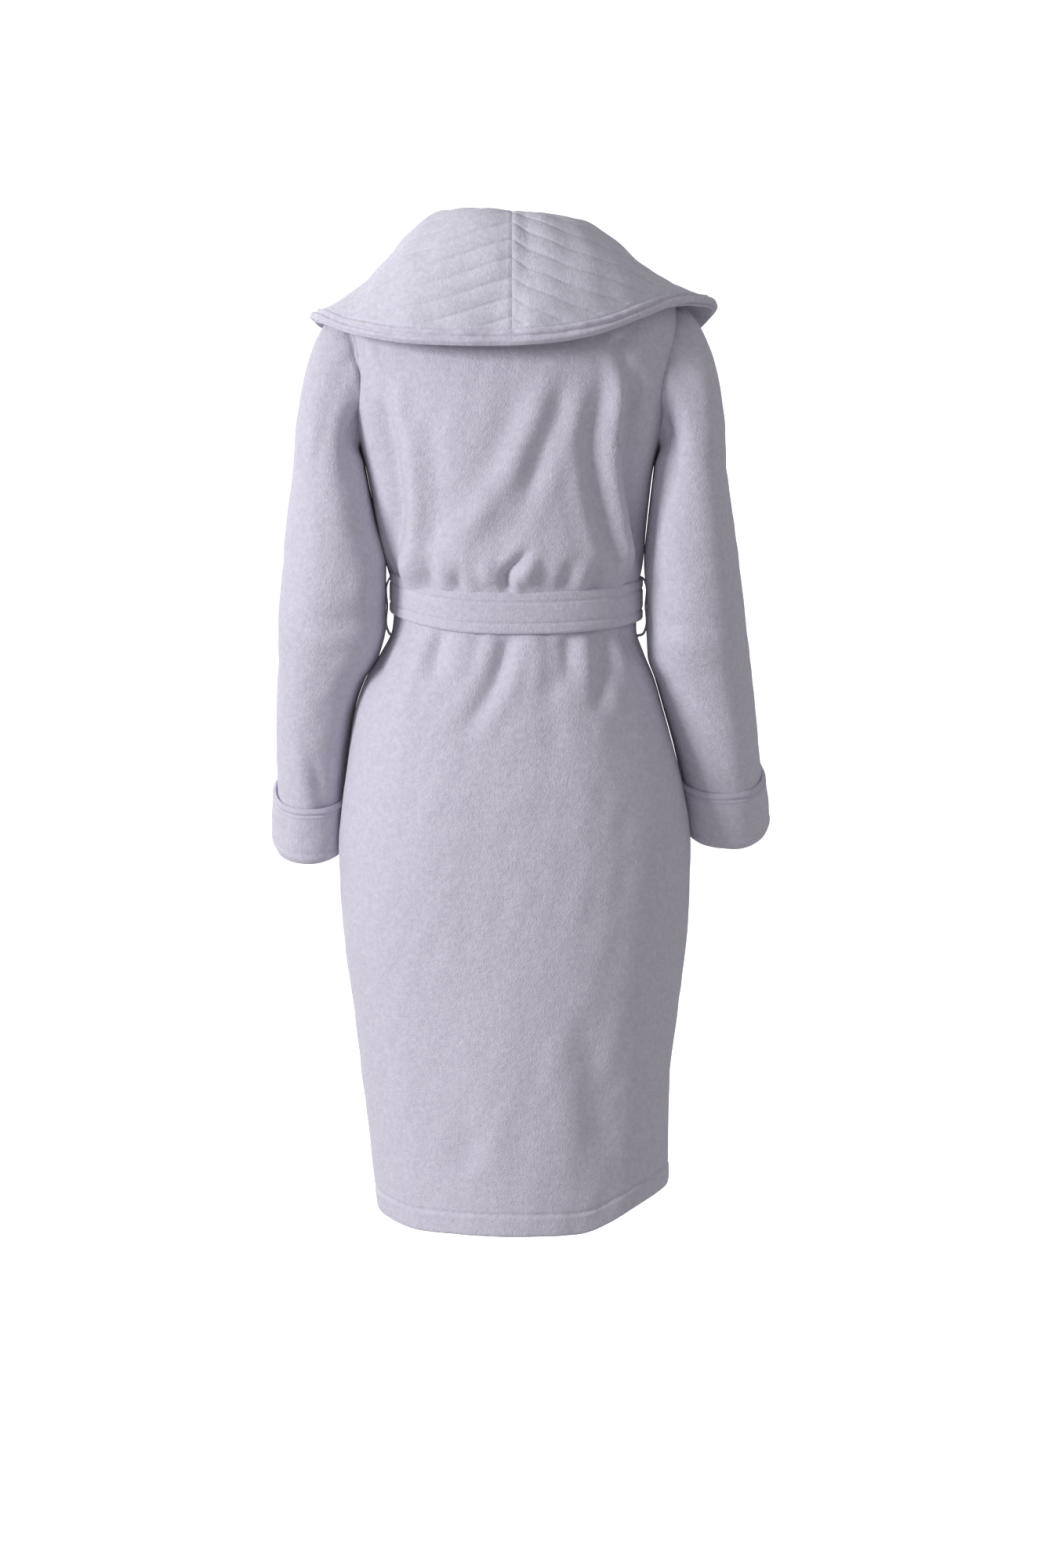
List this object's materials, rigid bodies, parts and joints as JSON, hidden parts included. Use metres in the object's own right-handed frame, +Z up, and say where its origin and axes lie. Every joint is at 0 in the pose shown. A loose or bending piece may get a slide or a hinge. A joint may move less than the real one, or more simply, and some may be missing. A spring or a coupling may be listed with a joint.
{
  "type": "bathrobe",
  "caption": "Worn shawl-collar fleece bathrobe, wrapped left over right and tied, with wide ribbed collar, belt and turned-back cuffs.",
  "frame": {"origin": "middle of the neck opening at the height of the back neck seam, which is the mount wearer_neck", "axes": "+Z up, towards the wearer's head; +X towards the wearer's left; -Y towards the wearer's front"},
  "size_m": [0.5675, 0.2951, 1.118],
  "materials": {
    "fleece": "pale lavender-grey plush fleece, soft short pile",
    "ribbed_fleece": "the same fleece cut in wide raised ribs, long soft pile",
    "collar_rim": "rolled fleece edge, long soft pile",
    "belt_fleece": "short-pile fleece strip with two rows of topstitching",
    "facing_fleece": "turned-in fleece with a stitched inner edge",
    "piping": "stitched fleece ridge",
    "hanger_tape": "narrow woven tape",
    "label_satin": "blank woven satin label"
  },
  "bodies": {
    "root": {"back_panel": "fleece", "belt_loop_left": "belt_fleece", "belt_loop_right": "belt_fleece", "collar_left": "ribbed_fleece", "collar_right": "ribbed_fleece", "collar_rim_left": "collar_rim", "collar_rim_right": "collar_rim", "front_facing_left": "facing_fleece", "front_facing_right": "facing_fleece", "front_panel_left": "fleece", "front_panel_right": "fleece", "hem_band_back": "fleece", "hem_band_left": "fleece", "hem_band_right": "fleece", "neck_label": "label_satin", "pocket_band_left": "fleece", "pocket_band_right": "fleece", "pocket_left": "fleece", "pocket_right": "fleece", "under_collar_left": "fleece", "under_collar_right": "fleece"},
    "sleeve_left": {"sleeve_left": "fleece", "cuff_left": "fleece", "cuff_piping_left": "piping"},
    "sleeve_right": {"sleeve_right": "fleece", "cuff_right": "fleece", "cuff_piping_right": "piping"},
    "belt": {"belt": "belt_fleece", "belt_knot": "belt_fleece"},
    "belt_tail_left": {"belt_tail_left": "belt_fleece"},
    "belt_tail_right": {"belt_tail_right": "belt_fleece"},
    "hanger": {"hanger_loop": "hanger_tape"}
  },
  "joints": [
    {"name": "sleeve_left_raise", "type": "hinge", "parent": "root", "child": "sleeve_left", "pos_m": [0.15, 0, -0.135], "axis": [0, -1, 0], "range_deg": [0, 60]},
    {"name": "sleeve_right_raise", "type": "hinge", "parent": "root", "child": "sleeve_right", "pos_m": [-0.15, 0, -0.135], "axis": [0, 1, 0], "range_deg": [0, 60]},
    {"name": "belt_ride", "type": "slide", "parent": "root", "child": "belt", "axis": [0, 0, 1], "range_m": [-0.008, 0.008]},
    {"name": "belt_tail_left_swing", "type": "hinge", "parent": "belt", "child": "belt_tail_left", "pos_m": [0.01, -0.1425, -0.4224], "axis": [-1, 0, 0], "range_deg": [0, 70]},
    {"name": "belt_tail_right_swing", "type": "hinge", "parent": "belt", "child": "belt_tail_right", "pos_m": [-0.046, -0.1425, -0.4224], "axis": [-1, 0, 0], "range_deg": [0, 70]},
    {"name": "hanger_flip", "type": "hinge", "parent": "root", "child": "hanger", "pos_m": [0, 0.0503, -0.004], "axis": [-1, 0, 0], "range_deg": [0, 150]}
  ]
}
